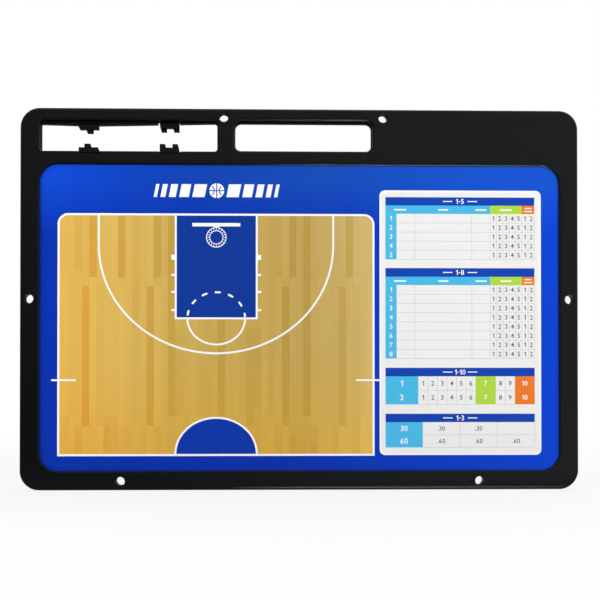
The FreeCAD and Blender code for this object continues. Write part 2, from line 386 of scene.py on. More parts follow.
# Figures that the built-in face lacks or draws too plainly, as shares of their height
OWN_FIGURE_SHARES = {
    "1": ((0.20, 0.0), (0.38, 0.0), (0.38, 1.0), (0.24, 1.0), (0.0, 0.80), (0.0, 0.62), (0.20, 0.76)),
    "-": ((0.0, 0.40), (0.34, 0.40), (0.34, 0.55), (0.0, 0.55)),
    ".": ((0.0, 0.0), (0.17, 0.0), (0.17, 0.17), (0.0, 0.17)),
}
FIGURE_GAP_SHARE = 0.13
FIGURE_WEIGHT_SHARE = 0.012
FIGURE_CURVE_STEPS = 3
SMALLEST_EDGE_SHARE = 0.0005
drawn_figures = {}


def own_figure(character):
    """Outline of one of the board's own figures."""
    points = OWN_FIGURE_SHARES[character]
    count = len(points)
    return points, [list(range(count))], neighbours(count)


def built_in_figure(character):
    """Outline of a figure of the built-in face, one unit high."""
    text = bpy.data.curves.new("figure", "FONT")
    text.body = character
    text.offset = FIGURE_WEIGHT_SHARE
    text.resolution_u = FIGURE_CURVE_STEPS
    holder = bpy.data.objects.new("figure", text)
    flat = bpy.data.meshes.new_from_object(holder)
    shape = bmesh.new()
    shape.from_mesh(flat)
    bmesh.ops.remove_doubles(shape, verts=shape.verts, dist=SMALLEST_EDGE_SHARE)
    bmesh.ops.dissolve_degenerate(shape, edges=shape.edges, dist=SMALLEST_EDGE_SHARE)
    shape.verts.index_update()
    left = min(vert.co.x for vert in shape.verts)
    low = min(vert.co.y for vert in shape.verts)
    height = max(vert.co.y for vert in shape.verts) - low
    points = [((vert.co.x - left) / height, (vert.co.y - low) / height) for vert in shape.verts]
    faces = [[vert.index for vert in face.verts] for face in shape.faces]
    rim = [(edge.verts[0].index, edge.verts[1].index) for edge in shape.edges if edge.is_boundary]
    shape.free()
    bpy.data.objects.remove(holder)
    bpy.data.curves.remove(text)
    bpy.data.meshes.remove(flat)
    return points, faces, rim


def typeface(characters):
    """Outline of some figures, one unit high and centred: points, faces and the edges round them."""
    points, faces, rim = [], [], []
    right = 0.0
    for character in characters:
        if character not in drawn_figures:
            draw = own_figure if character in OWN_FIGURE_SHARES else built_in_figure
            drawn_figures[character] = draw(character)
        drawn, drawn_faces, drawn_rim = drawn_figures[character]
        first = len(points)
        points += [(right + x, y - 0.5) for x, y in drawn]
        faces += [[first + index for index in face] for face in drawn_faces]
        rim += [(first + start, first + end) for start, end in drawn_rim]
        right += max(x for x, y in drawn) + FIGURE_GAP_SHARE
    middle = (right - FIGURE_GAP_SHARE) / 2
    return [(x - middle, y) for x, y in points], faces, rim


# Materials

# Noises: waves to the metre, and how much finer detail they carry
PRINT_NOISE = (240.0, 4.0)
GROUND_NOISE = (90.0, 3.0)
WIPE_NOISE = (30.0, 3.0)
FILM_NOISE = (55.0, 1.0)
GRAIN_NOISE = (1.0, 4.0)
PLASTIC_CLOUD_NOISE = (18.0, 3.0)
PLASTIC_SPECK_NOISE = (2600.0, 2.0)
PLASTIC_GRAIN_NOISE = (3200.0, 2.0)
CORE_NOISE = (60.0, 2.0)
TAPE_NOISE = (120.0, 3.0)

# Depth of the film's waves and of the moulded plastic's grain, and how much of it shows
FILM_WAVE, FILM_WAVE_SHARE = 0.4 * MM, 0.08
PLASTIC_GRAIN, PLASTIC_GRAIN_SHARE = 0.05 * MM, 0.14

# Colours of the floor, by how far across the court they stand: printed tone with painted light, lighter at
# the left and right and darker in painted shade in the middle
FLOOR_COLOUR_AND_PAINTED_LIGHT_SHARES = (
    (0.0, (0.672, 0.412, 0.080)),
    (0.26, (0.622, 0.408, 0.096)),
    (0.36, (0.552, 0.370, 0.086)),
    (0.5, (0.538, 0.364, 0.086)),
    (0.78, (0.490, 0.331, 0.089)),
    (1.0, (0.600, 0.427, 0.145)),
)
PLAIN = (1.0, 1.0, 1.0)

# Tints of the boards at the left and from the middle on
BOARD_TINTS = {
    "wood": (PLAIN, PLAIN),
    "dark": ((0.92, 0.78, 0.52), (0.89, 0.86, 0.66)),
    "mid": ((0.97, 0.92, 0.80), (0.95, 0.93, 0.84)),
}


def opaque(colour):
    """A plain colour with its alpha; an output stays as it is."""
    return colour if isinstance(colour, bpy.types.NodeSocket) else (*colour, 1.0)


class Nodes:
    """Nodes of a material or the world, with short ways to add and join them."""

    def __init__(self, tree):
        self.tree = tree

    def join(self, value, socket):
        """Links an output to a socket, or sets a plain value there."""
        if isinstance(value, bpy.types.NodeSocket):
            self.tree.links.new(value, socket)
        else:
            socket.default_value = value

    def node(self, kind, inputs=None, **settings):
        made = self.tree.nodes.new(kind)
        for name, value in settings.items():
            setattr(made, name, value)
        for name, value in (inputs or {}).items():
            self.join(value, made.inputs[name])
        return made

    def math(self, operation, first, second):
        return self.node("ShaderNodeMath", {0: first, 1: second}, operation=operation).outputs["Value"]

    def spread(self, value, low, high, source=(0.0, 1.0)):
        """A value carried from one range to another."""
        inputs = {
            "Value": value, "From Min": source[0], "From Max": source[1], "To Min": low, "To Max": high,
        }
        return self.node("ShaderNodeMapRange", inputs).outputs["Result"]

    def rays(self):
        """As 0 or 1: whether gloss mirrors this, and whether it is seen directly or through glass."""
        path = self.node("ShaderNodeLightPath").outputs
        seen = self.math("MAXIMUM", path["Is Camera Ray"], path["Is Transmission Ray"])
        return path["Is Glossy Ray"], seen


class Shader(Nodes):
    """Nodes of one material."""

    def __init__(self, name):
        self.material = bpy.data.materials.new(name)
        self.material.use_nodes = True
        super().__init__(self.material.node_tree)
        self.surface = self.tree.nodes["Principled BSDF"]
        self.place = self.node("ShaderNodeTexCoord").outputs["Object"]

    def set(self, **values):
        """Sets or joins sockets of the surface; spaces in their names are written as underscores."""
        for name, value in values.items():
            self.join(value, self.surface.inputs[name.replace("_", " ")])

    def axis(self, name):
        return self.node("ShaderNodeSeparateXYZ", {"Vector": self.place}).outputs[name]

    def stretched(self, scale):
        """The place, scaled differently along each axis."""
        return self.node("ShaderNodeMapping", {"Vector": self.place, "Scale": scale}).outputs["Vector"]

    def noise(self, waves, detail, place=None):
        """Even noise at so many waves to the metre."""
        inputs = {"Vector": place or self.place, "Scale": waves, "Detail": detail}
        return self.node("ShaderNodeTexNoise", inputs).outputs["Fac"]

    def chance(self, dimensions, **seed):
        """A random value for each seed."""
        return self.node("ShaderNodeTexWhiteNoise", seed, noise_dimensions=dimensions).outputs["Value"]

    def grey(self, level):
        parts = {"Red": level, "Green": level, "Blue": level}
        return self.node("ShaderNodeCombineColor", parts).outputs["Color"]

    def mix(self, share, first, second, blend="MIX"):
        """Two colours mixed."""
        made = self.node("ShaderNodeMix", {"Factor": share}, data_type="RGBA", blend_type=blend)
        colours = [socket for socket in made.inputs if socket.type == "RGBA"]
        for socket, colour in zip(colours, (first, second)):
            self.join(opaque(colour), socket)
        return [socket for socket in made.outputs if socket.type == "RGBA"][0]

    def tinted(self, colour, tint):
        """A colour times a tint."""
        return self.mix(1.0, colour, tint, "MULTIPLY")

    def ramp(self, value, stops):
        """The colour that belongs to a value, by stops from 0 to 1."""
        made = self.node("ShaderNodeValToRGB", {"Fac": value})
        elements = made.color_ramp.elements
        while len(elements) < len(stops):
            elements.new(1.0)
        for element, (position, colour) in zip(elements, stops):
            element.position = position
            element.color = opaque(colour)
        return made.outputs["Color"]

    def bump(self, height, share, depth):
        """Roughens the surface by a height."""
        inputs = {"Height": height, "Strength": share, "Distance": depth}
        self.set(Normal=self.node("ShaderNodeBump", inputs).outputs["Normal"])


def sheet_gloss(shader):
    """The dry-erase film over all print: glossy, with a slow waviness and faint wipe marks."""
    wipe_stretch = (1.0, 1.0, 6.0)
    smooth, wiped = 0.2, 0.3
    wipes = shader.noise(*WIPE_NOISE, shader.stretched(wipe_stretch))
    shader.set(Roughness=shader.spread(wipes, smooth, wiped), Specular_IOR_Level=0.10)
    shader.bump(shader.noise(*FILM_NOISE), FILM_WAVE_SHARE, FILM_WAVE)


def ink(name, colour, mottle_share=0.05):
    """Printed colour with the slight unevenness of a print."""
    shader = Shader(name)
    darker = [channel * (1 - mottle_share) for channel in colour]
    lighter = [min(1.0, channel * (1 + mottle_share)) for channel in colour]
    shader.set(Base_Color=shader.mix(shader.noise(*PRINT_NOISE), darker, lighter))
    sheet_gloss(shader)
    return shader.material


def ground_ink():
    """Blue ground ink with painted light: lighter at the right and in the top corners, in painted shade at
    the lower left, with a paler painted sheen on top.
    """
    shader = Shader("blue_ground_ink_with_painted_light")
    # Printed blue ground in three painted tones: a deep blue for painted shade, a lit blue for painted
    # light and a paler blue for a painted sheen
    deep, painted_lit_blue, painted_sheen_blue = (0.0018, 0.029, 0.38), (0.0018, 0.058, 0.65), (0.014, 0.115, 0.48)
    right_ends, right_share = (-0.02, 0.19), 0.78
    left_corner_ends, left_corner_share = (-0.19, -0.07), 0.85
    right_corner_ends, right_corner_share = (0.03, 0.17), 0.50
    corners_up = (0.185, 0.225)
    pale_up, pale_top_share = (0.19, 0.225), 0.4
    pale_ends, pale_left_share = (-0.12, 0.0), 0.35
    cloud_share = 0.05
    across, up = shader.axis("X"), shader.axis("Z")
    # Painted light: the blue grows lighter towards the right and in the top corners, and the lower left
    # stays in painted shade
    to_right = shader.spread(across, 0.0, right_share, right_ends)
    painted_light_left_corner = shader.spread(across, left_corner_share, 0.0, left_corner_ends)
    painted_light_right_corner = shader.spread(across, 0.0, right_corner_share, right_corner_ends)
    painted_light_at_top = shader.spread(up, 0.0, 1.0, corners_up)
    corners = shader.math("MULTIPLY", shader.math("ADD", painted_light_left_corner, painted_light_right_corner), painted_light_at_top)
    cloud = shader.spread(shader.noise(*GROUND_NOISE), -cloud_share, cloud_share)
    share = shader.math("ADD", shader.math("ADD", to_right, corners), cloud)
    # Painted sheen: a paler blue mixed in near the top, fainter towards the left
    painted_sheen_near_top = shader.spread(up, 0.0, pale_top_share, pale_up)
    painted_sheen_share = shader.math("MULTIPLY", painted_sheen_near_top, shader.spread(across, pale_left_share, 1.0, pale_ends))
    shader.set(Base_Color=shader.mix(painted_sheen_share, shader.mix(share, deep, painted_lit_blue), painted_sheen_blue))
    sheet_gloss(shader)
    return shader.material


def court_ink():
    """Blue of the court's painted parts, a little clearer towards the bottom."""
    shader = Shader("court_blue_ink")
    low, high = (0.0035, 0.036, 0.365), (0.0050, 0.036, 0.285)
    low_to_high = (0.05, 0.12)
    cloud_share = 0.06
    cloud = shader.spread(shader.noise(*PRINT_NOISE), -cloud_share, cloud_share)
    share = shader.math("ADD", shader.spread(shader.axis("Z"), 0.0, 1.0, low_to_high), cloud)
    shader.set(Base_Color=shader.mix(share, low, high))
    sheet_gloss(shader)
    return shader.material


def wood_tone(shader, across_share):
    """Wood colour with painted light: honey and lighter at the left, olive and in painted shade from the
    middle on, paler at the right, with paler painted light on top and a golden painted light below.
    """
    # Painted light below: a golden tint that grows lighter towards the right
    golden_left, golden_right, golden_shares = (1.05, 0.945, 0.725), (1.17, 1.06, 0.65), (0.2, 0.6)
    golden_up = (0.035, 0.10)
    # Painted light on top: a paler, cooler tint
    upper, upper_up = (1.0, 1.015, 1.13), (0.16, 0.20)
    up = shader.axis("Z")
    golden_painted_light = shader.mix(shader.spread(across_share, 0.0, 1.0, golden_shares), golden_left, golden_right)
    above = shader.mix(shader.spread(up, 0.0, 1.0, upper_up), PLAIN, upper)
    tint = shader.mix(shader.spread(up, 1.0, 0.0, golden_up), above, golden_painted_light)
    return shader.tinted(shader.ramp(across_share, FLOOR_COLOUR_AND_PAINTED_LIGHT_SHARES), tint)


def board_shade(shader, along):
    """How light the floor is: a faint tone for each board, fine grain and the seams between strips."""
    late_share = 0.5
    tone_shares = (0.955, 1.03)
    grain_share = 0.045
    seam_share, seam_width_share = 0.94, 0.035
    fine, streak = 1100.0, 26.0
    side = "X" if along == "Z" else "Z"
    from_start = shader.math("SUBTRACT", shader.axis(side), STRIP_START * MM)
    strips = shader.math("DIVIDE", from_start, STRIP_WIDTH * MM)
    strip = shader.math("FLOOR", strips, 0.0)
    is_late = shader.math("GREATER_THAN", shader.chance("1D", W=strip), late_share)
    late = shader.math("MULTIPLY", is_late, JOINT_STAGGER * MM)
    from_joint = shader.math("SUBTRACT", shader.axis(along), LONG_END * MM)
    boards = shader.math("DIVIDE", shader.math("ADD", from_joint, late), BOARD_LENGTH * MM)
    board = shader.math("FLOOR", boards, 0.0)
    seed = shader.node("ShaderNodeCombineXYZ", {"X": strip, "Y": board}).outputs["Vector"]
    tone = shader.spread(shader.chance("2D", Vector=seed), *tone_shares)
    grain_scale = (fine, fine, streak) if along == "Z" else (streak, fine, fine)
    grain = shader.noise(*GRAIN_NOISE, shader.stretched(grain_scale))
    shade = shader.math("ADD", tone, shader.spread(grain, -grain_share, grain_share))
    within = shader.math("FRACT", strips, 0.0)
    from_seam = shader.math("MINIMUM", within, shader.math("SUBTRACT", 1.0, within))
    seam = shader.spread(from_seam, seam_share, 1.0, (0.0, seam_width_share))
    return shader.math("MULTIPLY", shade, seam)


def wood(name, along, left_tint, right_tint):
    """Printed floor boards that run along an axis, with painted light and shade across and up the court.
    """
    shader = Shader(name)
    tint_shares = (0.1, 0.4)
    across_share = shader.spread(shader.axis("X"), 0.0, 1.0, (COURT_LEFT * MM, COURT_RIGHT * MM))
    toned = shader.tinted(wood_tone(shader, across_share), shader.grey(board_shade(shader, along)))
    tint = shader.mix(shader.spread(across_share, 0.0, 1.0, tint_shares), left_tint, right_tint)
    shader.set(Base_Color=shader.tinted(toned, tint))
    sheet_gloss(shader)
    return shader.material


def moulded(name, colour):
    """Black moulded plastic with a fine spark-eroded grain."""
    shader = Shader(name)
    dark_share, light_share = 0.85, 1.2
    smooth, rough = 0.28, 0.40
    darker = [channel * dark_share for channel in colour]
    lighter = [channel * light_share for channel in colour]
    shader.set(Base_Color=shader.mix(shader.noise(*PLASTIC_CLOUD_NOISE), darker, lighter))
    shader.set(Roughness=shader.spread(shader.noise(*PLASTIC_SPECK_NOISE), smooth, rough))
    shader.bump(shader.noise(*PLASTIC_GRAIN_NOISE), PLASTIC_GRAIN_SHARE, PLASTIC_GRAIN)
    shader.set(Specular_IOR_Level=0.30, Specular_Tint=(0.88, 0.96, 1.0, 1.0))
    return shader.material


def clouded(name, noise, colours, roughness):
    """Plain material that wavers between two colours and two levels of roughness."""
    shader = Shader(name)
    cloud = shader.noise(*noise)
    shader.set(Base_Color=shader.mix(cloud, *colours), Roughness=shader.spread(cloud, *roughness))
    return shader.material


def core_plastic():
    """Milky twin-wall plastic."""
    colours = ((0.74, 0.75, 0.76), (0.82, 0.83, 0.84))
    roughness = (0.35, 0.5)
    return clouded("core_plastic", CORE_NOISE, colours, roughness)


def tape():
    """Transfer adhesive, slightly yellow."""
    colours = ((0.72, 0.69, 0.58), (0.80, 0.77, 0.66))
    roughness = (0.5, 0.7)
    return clouded("transfer_tape", TAPE_NOISE, colours, roughness)


ground_blue_with_painted_light = ground_ink()
court_blue = court_ink()
bar_blue = ink("bar_blue_ink", (0.0070, 0.053, 0.40))
white = ink("white_ink", (0.86, 0.87, 0.89), mottle_share=0.015)
paper = ink("paper_ink", (0.80, 0.795, 0.785), mottle_share=0.02)
cyan = ink("cyan_ink", (0.065, 0.455, 0.74))
green = ink("green_ink", (0.41, 0.645, 0.055))
orange = ink("orange_ink", (0.79, 0.19, 0.020))
line_grey = ink("line_grey_ink", (0.56, 0.56, 0.56))
figure_grey = ink("figure_grey_ink", (0.125, 0.125, 0.13))
front_woods = {tone: wood("front_" + tone, "Z", *tints) for tone, tints in BOARD_TINTS.items()}
rear_wood = wood("rear_wood", "X", *BOARD_TINTS["wood"])


# Court markings, for either face


def place_all(place, points):
    return [place(across, down) for across, down in points]


def arch(half, straight, height):
    """Line down one side, round the end of an ellipse and up the other side."""
    return [(-half, 0)] + arc((0, straight), (half, height), 180, 0) + [(half, 0)]


def box(place, left, right, near, far):
    """Rectangle of a half court as an outline on the face."""
    return place_all(place, [(left, near), (right, near), (right, far), (left, far)])


def three_point_line(lines, court, place):
    half = court.line / 2
    wide, deep = court.arc_radii
    outer = arch(wide + half, court.arc_straight, deep + half)
    inner = arch(wide - half, court.arc_straight, deep - half)
    lines.band(place_all(place, outer), place_all(place, inner))


def key(fills, lines, court, place):
    """Painted lane with its lines and the marks beside it."""
    half = court.line / 2
    side, length = court.key_half, court.key_length
    fills.patch(box(place, -side, side, BORDER, length))
    lines.patch(box(place, -side - half, side + half, length - half, length + half))
    for sign in (-1, 1):
        lines.patch(box(place, sign * side - half, sign * side + half, BORDER, length - half))
        edge = sign * (side + half)
        mark_end = edge + sign * court.mark_length
        for down, width in court.mark_places:
            lines.patch(box(place, edge, mark_end, down - width / 2, down + width / 2))


def free_throw_circle(lines, court, place):
    """Solid half outside the lane, dashes inside it."""
    half = court.line / 2
    wide, deep = court.circle_radii
    middle = (0, court.key_length)

    def stretch(start, end, steps):
        outer = arc(middle, (wide + half, deep + half), start, end, steps)
        inner = arc(middle, (wide - half, deep - half), start, end, steps)
        lines.band(place_all(place, outer), place_all(place, inner))

    below_line = math.degrees(math.asin(half / deep))
    stretch(below_line, 180 - below_line, ARC_STEPS)
    for angle in DASH_ANGLES:
        stretch(-angle - DASH_HALF_ANGLE, -angle + DASH_HALF_ANGLE, DASH_STEPS)


def basket(lines, court, place):
    """Backboard, its bracket and the rim with its net hooks."""
    half = court.board_half
    down, width, rim = court.board_down, court.board_width, court.rim_radius
    middle = (0, court.rim_down)
    lines.patch(box(place, -half, half, down - width / 2, down + width / 2))
    bracket_half = rim * BRACKET_SHARE
    bracket_end = court.rim_down - rim
    lines.patch(box(place, -bracket_half, bracket_half, down + width / 2, bracket_end))
    for shares in (OUTER_RING_SHARES, INNER_RING_SHARES):
        radii = [(rim * share, rim * share) for share in shares]
        lines.ring(place(*middle), *radii)
    hook_radii = (rim * OUTER_RING_SHARES[1], rim * INNER_RING_SHARES[0])
    for index in range(NET_HOOKS):
        angle = 360 / NET_HOOKS * index
        turn = (angle - HOOK_HALF_ANGLE, angle + HOOK_HALF_ANGLE, HOOK_STEPS)
        outer, inner = (arc(middle, (radius, radius), *turn) for radius in hook_radii)
        lines.band(place_all(place, outer), place_all(place, inner))


def half_circle(fills, lines, court, place):
    """Centre circle, as far as it lies on this half."""
    wide, deep = court.centre_radii
    middle = (0, court.length - BORDER)
    rim = court.line
    outer = arc(middle, (wide, deep), 180, 360)
    inner = arc(middle, (wide - rim, deep - rim), 180, 360)
    fills.patch(place_all(place, inner))
    lines.band(place_all(place, outer), place_all(place, inner))


def half_court(fills, lines, court, place):
    three_point_line(lines, court, place)
    key(fills, lines, court, place)
    free_throw_circle(lines, court, place)
    basket(lines, court, place)
    half_circle(fills, lines, court, place)


# Front print

front = Face(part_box("front_sheet")[0].y, -1)


def front_floor():
    """White border, wooden floor and its boards."""
    border = Ink(front, BASE)
    border.patch(rectangle(COURT_LEFT, COURT_RIGHT, COURT_BOTTOM, COURT_TOP, COURT_CORNER, 0))
    border.bar(HASH_LEFT[0], COURT_LEFT, *HASH_EDGES)
    border.bar(COURT_RIGHT, HASH_RIGHT[1], *HASH_EDGES)
    border.finish("front_court_border", white, "front_print")
    floor = Ink(front, FILL)
    inside = (COURT_LEFT + BORDER, COURT_RIGHT - BORDER, FLOOR_LOW, FLOOR_TOP)
    floor.patch(rectangle(*inside, COURT_CORNER - BORDER, 0))
    floor.finish("front_court_floor", front_woods["wood"], "front_print")
    for tone, boards in STANDOUT_BOARDS.items():
        strips = Ink(front, DETAIL)
        for upper, lower, held_by in boards:
            for strip in held_by:
                left = STRIP_START + strip * STRIP_WIDTH
                strips.bar(left, left + STRIP_WIDTH, lower, upper)
        strips.finish("front_court_" + tone + "_boards", front_woods[tone], "front_print")


def front_place(across, down):
    """Place of the front's half court, with its baseline on top."""
    return COURT_AXIS + across, COURT_TOP - down


def front_court():
    """Markings of the half court."""
    fills, lines = Ink(front, LINE), Ink(front, SEAM)
    half_court(fills, lines, FRONT_COURT, front_place)
    lines.bar(COURT_LEFT + BORDER, HASH_LEFT[1], *HASH_EDGES)
    lines.bar(HASH_RIGHT[0], COURT_RIGHT - BORDER, *HASH_EDGES)
    fills.finish("front_court_paint", court_blue, "front_print")
    lines.finish("front_court_lines", white, "front_print")


def title_bars(marks):
    """Slanted bars at either side of the ball."""
    across, up = TITLE_MIDDLE
    lean = TITLE_SLANT_SHARE * TITLE_HEIGHT / 2
    low, high = up - TITLE_HEIGHT / 2, up + TITLE_HEIGHT / 2
    for sign in (-1, 1):
        near = BALL_RADIUS + TITLE_GAP
        for width in TITLE_BARS:
            left, right = sorted((across + sign * near, across + sign * (near + width)))
            lower_edge = [(left - lean, low), (right - lean, low)]
            upper_edge = [(right + lean, high), (left + lean, high)]
            marks.patch(lower_edge + upper_edge)
            near += width + TITLE_GAP


def ball_seams(seams):
    """Two straight seams that cross and a bowed one at either side."""
    across, up = TITLE_MIDDLE
    half = BALL_SEAM / 2
    seams.bar(across - BALL_RADIUS, across + BALL_RADIUS, up - half, up + half)
    seams.bar(across - half, across + half, up - BALL_RADIUS, up - half)
    seams.bar(across - half, across + half, up + half, up + BALL_RADIUS)
    radius = BALL_RADIUS * SIDE_SEAM_RADIUS_SHARE
    for sign in (-1, 1):
        middle = (across + sign * BALL_RADIUS * SIDE_SEAM_PLACE_SHARE, up)
        facing = 180 if sign > 0 else 0
        for start, end in SIDE_SEAM_ANGLES:
            turn = (facing + start, facing + end, SHORT_ARC_STEPS)
            outer = arc(middle, (radius + half, radius + half), *turn)
            inner = arc(middle, (radius - half, radius - half), *turn)
            seams.band(outer, inner)


def title_ornament():
    """Ball between rows of slanted bars."""
    marks, seams = Ink(front, BASE), Ink(front, FILL)
    marks.patch(ellipse(TITLE_MIDDLE, (BALL_RADIUS, BALL_RADIUS)))
    title_bars(marks)
    ball_seams(seams)
    marks.finish("front_title_ornament", white, "front_print")
    seams.finish("front_title_ball_seams", ground_blue_with_painted_light, "front_print")


# Score card: tables of plain figures, each ink with its level and material

CARD_INKS = {
    "bars": (DETAIL, bar_blue),
    "cyan": (DETAIL, cyan),
    "green": (DETAIL, green),
    "orange": (DETAIL, orange),
    "grid": (DETAIL, line_grey),
    "marks": (LINE, white),
    "figures": (LINE, figure_grey),
}
card = {name: Ink(front, level) for name, (level, material) in CARD_INKS.items()}


def card_ground():
    """White rim and paper of the card."""
    rim, sheet = Ink(front, BASE), Ink(front, FILL)
    rim.bar(CARD_LEFT, CARD_RIGHT, CARD_BOTTOM, CARD_TOP, CARD_CORNER)
    left, right = CARD_LEFT + CARD_RIM, CARD_RIGHT - CARD_RIM
    sheet.bar(left, right, CARD_BOTTOM + CARD_RIM, CARD_TOP - CARD_RIM, CARD_CORNER - CARD_RIM)
    rim.finish("front_card_rim", white, "front_print")
    sheet.finish("front_card_paper", paper, "front_print")


def level_line(left, right, up):
    card["grid"].bar(left, right, up - GRID_LINE / 2, up + GRID_LINE / 2)


def upright_line(across, bottom, top):
    card["grid"].bar(across - GRID_LINE / 2, across + GRID_LINE / 2, bottom, top)


def white_rule(middle, length, width):
    """Short white rule with round ends."""
    across, up = middle
    ends = (across - length / 2, across + length / 2)
    card["marks"].bar(*ends, up - width / 2, up + width / 2, width * ROUND_END_SHARE)


def title_bar(table, characters):
    """Blue bar of a table: plain figures between two short rules."""
    across, up = (TABLE_LEFT + TABLE_RIGHT) / 2, table.top - table.bar / 2
    card["bars"].bar(TABLE_LEFT, TABLE_RIGHT, table.header_top, table.top)
    card["marks"].figure(characters, (across, up), TITLE_FIGURE)
    for sign in (-1, 1):
        white_rule((across + sign * (RULE_GAP + RULE_LENGTH / 2), up), RULE_LENGTH, RULE_WIDTH)


def headings(table, split, pitch):
    """Short white rules in the places of the columns' headings."""
    up = table.header_top - table.header * HEADING_DOWN_SHARE
    edges = (TABLE_LEFT, *BLANK_RIGHTS, split)
    for left, right, length in zip(edges, edges[1:], HEADING_LENGTHS):
        white_rule(((left + right) / 2, up), length, HEADING_WIDTH)
    for rise, length in PAIR_HEADINGS:
        white_rule((split + pitch, up + rise), length, PAIR_HEADING_WIDTH)


def numbered_table(table):
    """Numbered rows with columns of counts."""
    columns = len(COUNT_FIGURES)
    pitch = (TABLE_RIGHT - COUNT_LEFT) / columns
    split = TABLE_RIGHT - LATE_COUNTS * pitch
    header_top, body_top, bottom = table.header_top, table.body_top, table.bottom
    title_bar(table, "1-" + str(table.rows))
    card["cyan"].patch([
        (TABLE_LEFT, header_top), (TABLE_LEFT, bottom), (NUMBER_RIGHT, bottom),
        (NUMBER_RIGHT, body_top), (COUNT_LEFT, body_top), (COUNT_LEFT, header_top),
    ])
    card["green"].bar(COUNT_LEFT, split, body_top, header_top)
    card["orange"].bar(split, TABLE_RIGHT, body_top, header_top)
    headings(table, split, pitch)
    for row in range(table.rows):
        middle = table.row_middle(row)
        card["marks"].figure(str(row + 1), ((TABLE_LEFT + NUMBER_RIGHT) / 2, middle), ROW_FIGURE)
        for column, count in enumerate(COUNT_FIGURES):
            across = COUNT_LEFT + (column + 0.5) * pitch
            card["figures"].figure(str(count), (across, middle), ROW_FIGURE)
        level_line(NUMBER_RIGHT, TABLE_RIGHT, table.row_bottom(row))
    for across in BLANK_RIGHTS:
        upright_line(across, bottom, body_top)
    for column in range(1, columns + 1):
        upright_line(COUNT_LEFT + column * pitch, bottom, body_top)


def count_table(table):
    """Two rows of ten counts, two of them in coloured cells."""
    counts = len(CELL_EDGES) - 1
    body = (table.bottom, table.body_top)
    left = CELL_EDGES[0]
    title_bar(table, "1-" + str(counts))
    card["cyan"].bar(TABLE_LEFT, left, *body)
    for name, count in (("green", GREEN_COUNT), ("orange", ORANGE_COUNT)):
        card[name].bar(CELL_EDGES[count - 1], CELL_EDGES[count], *body)
    for row in range(table.rows):
        middle = table.row_middle(row)
        card["marks"].figure(str(row + 1), ((TABLE_LEFT + left) / 2, middle), SIDE_FIGURE)
        for count in range(1, counts + 1):
            across = (CELL_EDGES[count - 1] + CELL_EDGES[count]) / 2
            target = "marks" if count in (GREEN_COUNT, ORANGE_COUNT) else "figures"
            card[target].figure(str(count), (across, middle), ROW_FIGURE)
        level_line(left, CELL_EDGES[GREEN_COUNT - 1], table.row_bottom(row))
        level_line(CELL_EDGES[GREEN_COUNT], CELL_EDGES[ORANGE_COUNT - 1], table.row_bottom(row))
    for across in CELL_EDGES[1:GREEN_COUNT - 1] + CELL_EDGES[GREEN_COUNT + 1:ORANGE_COUNT - 1]:
        upright_line(across, *body)


def long_cell_table(table):
    """Two rows of three long cells."""
    left = LONG_CELLS_LEFT
    cell = (TABLE_RIGHT - left) / LONG_CELLS
    title_bar(table, "1-" + str(LONG_CELLS))
    card["cyan"].bar(TABLE_LEFT, left, table.bottom, table.body_top)
    for row, (side, characters, shown) in enumerate(LONG_ROWS):
        middle = table.row_middle(row)
        card["marks"].figure(side, ((TABLE_LEFT + left) / 2, middle), LONG_SIDE_FIGURE)
        for column in range(shown):
            card["figures"].figure(characters, (left + (column + 0.5) * cell, middle), LONG_FIGURE)
        level_line(left, TABLE_RIGHT, table.row_bottom(row))
    for column in range(1, LONG_CELLS + 1):
        upright_line(left + column * cell, table.bottom, table.body_top)


def score_card():
    card_ground()
    for table in NUMBERED_TABLES:
        numbered_table(table)
    count_table(COUNT_TABLE)
    long_cell_table(LONG_TABLE)
    for name, (level, material) in CARD_INKS.items():
        card[name].finish("front_card_" + name, material, "front_print")


# Rear print

rear = Face(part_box("rear_sheet")[1].y, 1)


def rear_place(end):
    """Places of a half of the rear court, with its baseline at the left (-1) or right (1) end."""
    return lambda across, down: (end * (REAR_LENGTH / 2 - down), REAR_MIDDLE_UP - end * across)


def rear_court():
    """Full court on the blue ground."""
    half = REAR_LENGTH / 2
    low, high = REAR_MIDDLE_UP - REAR_WIDTH / 2, REAR_MIDDLE_UP + REAR_WIDTH / 2
    border, floor = Ink(rear, BASE), Ink(rear, FILL)
    border.bar(-half, half, low, high, COURT_CORNER)
    inside = (-half + BORDER, half - BORDER, low + BORDER, high - BORDER)
    floor.bar(*inside, COURT_CORNER - BORDER)
    fills, lines = Ink(rear, DETAIL), Ink(rear, LINE)
    for end in (-1, 1):
        half_court(fills, lines, REAR_COURT, rear_place(end))
    half_line = REAR_COURT.line / 2
    lines.bar(-half_line, half_line, low + BORDER / 2, high - BORDER / 2)
    border.finish("rear_court_border", white, "rear_print")
    floor.finish("rear_court_floor", rear_wood, "rear_print")
    fills.finish("rear_court_paint", court_blue, "rear_print")
    lines.finish("rear_court_lines", white, "rear_print")


# Finish of the solid pieces


def dress(node, material):
    """Gives a solid piece its material."""
    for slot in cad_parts[node].material_slots:
        slot.material = material


def solid_pieces():
    """Materials of the CAD nodes."""
    frame_plastic = moulded("frame_plastic", (0.0020, 0.0023, 0.0029))
    jaw_plastic = moulded("jaw_plastic", (0.0018, 0.0020, 0.0024))
    tape_film = tape()
    for half in ("front", "rear"):
        dress(half + "_frame", frame_plastic)
        dress(half + "_sheet", ground_blue_with_painted_light)
        dress(half + "_adhesive", tape_film)
    dress("core_board", core_plastic())
    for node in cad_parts:
        if node.startswith("clip_jaw"):
            dress(node, jaw_plastic)


# Studio

# Light of the surroundings on rough surfaces, and where gloss mirrors them
SOFT_LIGHT = 0.40
MIRRORED_LIGHT = 0.75

